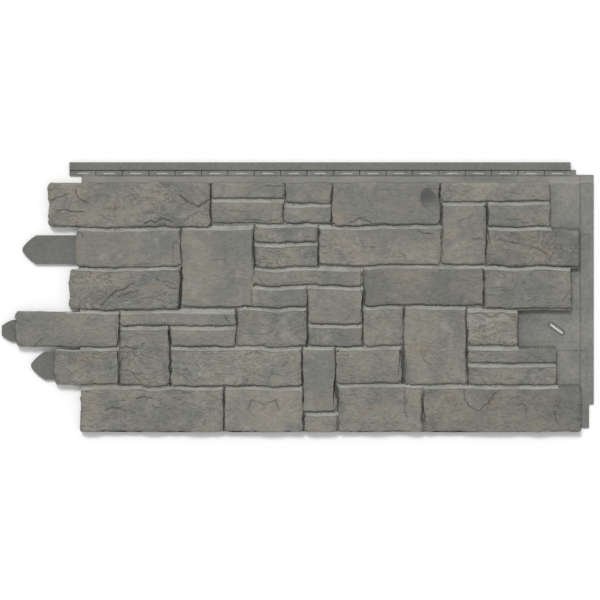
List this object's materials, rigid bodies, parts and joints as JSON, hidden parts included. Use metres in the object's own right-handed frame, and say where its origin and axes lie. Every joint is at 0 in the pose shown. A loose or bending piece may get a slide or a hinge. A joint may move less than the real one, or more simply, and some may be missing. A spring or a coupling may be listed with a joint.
{
  "type": "faux stone wall panel",
  "caption": "Hollow-backed moulded cladding panel with a ledge stone face, a slotted nailing hem along its top edge, lap tongues at its left end and a lap flange at its right end.",
  "frame": {"origin": "middle of the bounding box's bottom face, which is the plane of the wall", "axes": "+X along the panel towards its lap flange, +Y towards the nailing hem, +Z out of the stone face; the panel lies on its back"},
  "size_m": [1.1396, 0.5196, 0.021],
  "materials": {
    "moulded_polymer": "matte"
  },
  "bodies": {
    "root": {"panel": "moulded_polymer"}
  },
  "joints": []
}
